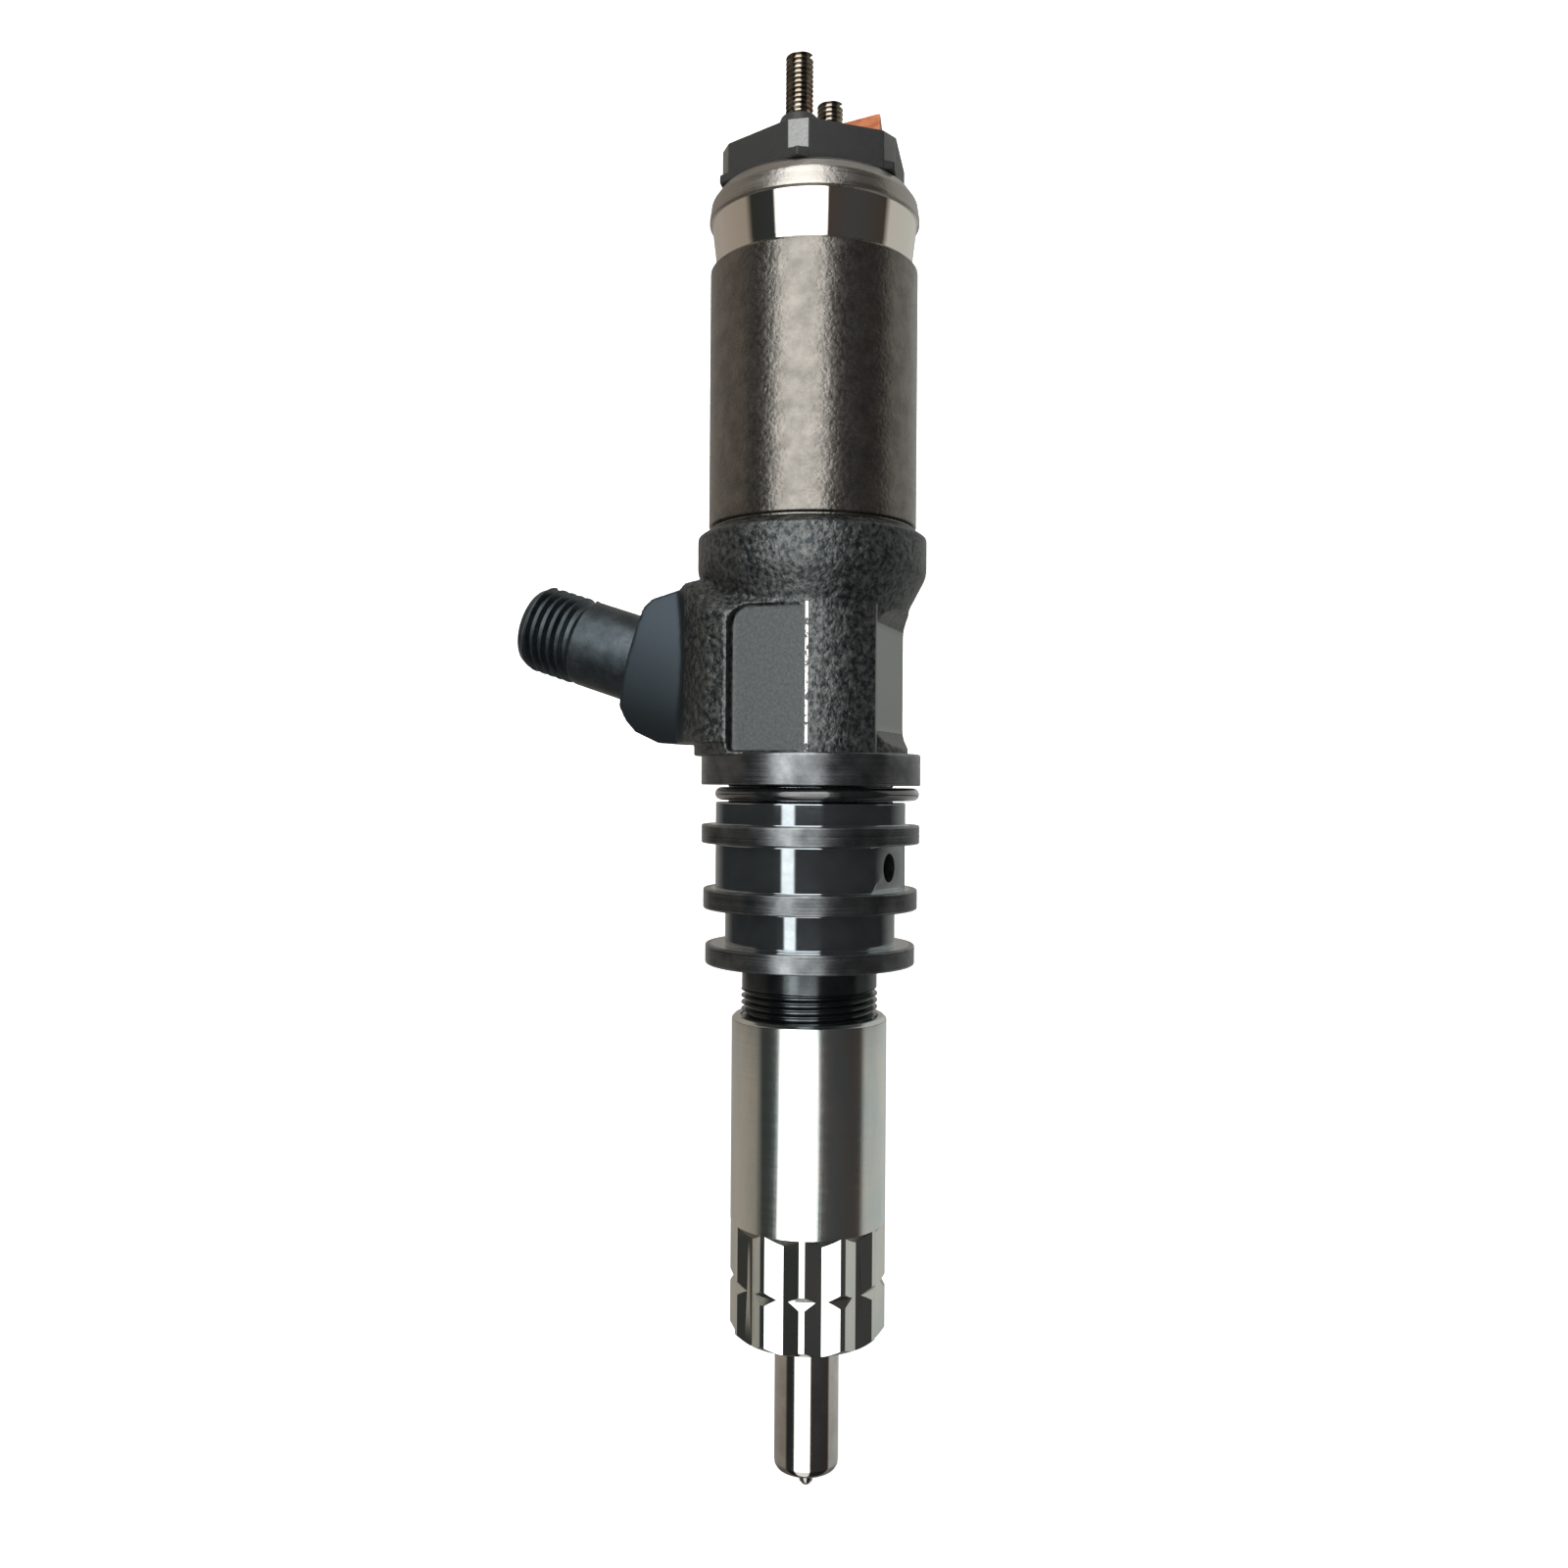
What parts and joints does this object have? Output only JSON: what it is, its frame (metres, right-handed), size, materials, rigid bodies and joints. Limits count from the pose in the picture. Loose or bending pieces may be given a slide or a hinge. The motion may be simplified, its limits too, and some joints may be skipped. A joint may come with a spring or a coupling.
{
  "type": "common rail fuel injector",
  "caption": "Slim diesel injector: side fuel inlet, solenoid on top with stud terminals, clamp flats, sealing grooves, nozzle nut and nozzle tip.",
  "frame": {"origin": "centre of the nozzle nut's lower face, where it seats in the cylinder head", "axes": "+Z along the injector towards the terminals, -X towards the inlet, the clamp flats face -Y and +Y"},
  "size_m": [0.0651, 0.0342, 0.2105],
  "materials": {
    "black_oxide_forging": "black oxide over a forged surface, machined where it seals",
    "black_oxide_turned": "satin black oxide on turned steel",
    "zinc_turned_steel": "bright zinc on fine turned steel",
    "ground_steel": "ground and polished",
    "plain_steel": "plain machined",
    "spring_steel": "drawn wire",
    "blasted_steel": "grit-blasted and phosphated, matte",
    "soft_iron": "pressed soft magnetic iron",
    "polished_nickel": "polished nickel band under a brushed shoulder",
    "plated_stud": "nickel-plated thread",
    "black_resin": "moulded, matte",
    "terracotta_resin": "cast, satin",
    "copper_wire": "enamelled",
    "copper_gasket": "annealed",
    "seal_rubber": "black fluorocarbon rubber, glossy"
  },
  "bodies": {
    "injector": {"injector_body": "black_oxide_forging", "inlet_connector": "black_oxide_turned", "nozzle_nut": "zinc_turned_steel", "nozzle_body": "ground_steel", "distance_piece": "ground_steel", "dowel_pin_front": "ground_steel", "dowel_pin_rear": "ground_steel", "valve_body": "ground_steel", "orifice_plate": "ground_steel", "armature_guide": "ground_steel", "lift_shim": "ground_steel", "spring_shim": "ground_steel", "spring_plug": "ground_steel", "valve_retainer": "plain_steel", "edge_filter": "plain_steel", "needle_spring": "spring_steel", "valve_spring": "spring_steel", "solenoid_housing": "blasted_steel", "solenoid_core": "soft_iron", "retaining_ring": "polished_nickel", "terminal_stud_front": "plated_stud", "terminal_stud_rear": "plated_stud", "solenoid_cap": "black_resin", "coil_bobbin": "black_resin", "stud_collar_front": "black_resin", "stud_collar_rear": "black_resin", "resin_block": "terracotta_resin", "coil_winding": "copper_wire", "coil_lead_front": "copper_wire", "coil_lead_rear": "copper_wire", "inlet_gasket": "copper_gasket", "body_seal": "seal_rubber", "housing_seal": "seal_rubber", "cap_seal": "seal_rubber"},
    "needle": {"nozzle_needle": "ground_steel"},
    "pin": {"pressure_pin": "ground_steel"},
    "piston": {"command_piston": "ground_steel"},
    "armature": {"armature": "plain_steel", "valve_ball": "ground_steel"}
  },
  "joints": [
    {"name": "piston_lift", "type": "slide", "parent": "injector", "child": "piston", "axis": [0, 0, 1], "range_m": [0, 0.0003], "stiffness_N_per_m": 20000},
    {"name": "pin_lift", "type": "slide", "parent": "injector", "child": "pin", "axis": [0, 0, 1], "range_m": [0, 0.0003], "deforming": ["needle_spring"]},
    {"name": "needle_lift", "type": "slide", "parent": "injector", "child": "needle", "axis": [0, 0, 1], "range_m": [0, 0.0003]},
    {"name": "armature_lift", "type": "slide", "parent": "injector", "child": "armature", "axis": [0, 0, 1], "range_m": [0, 0.00006], "stiffness_N_per_m": 10000, "deforming": ["valve_spring"]}
  ],
  "couplings": [
    {"joint": "pin_lift", "follows": "piston_lift", "ratio": 1},
    {"joint": "needle_lift", "follows": "piston_lift", "ratio": 1}
  ]
}
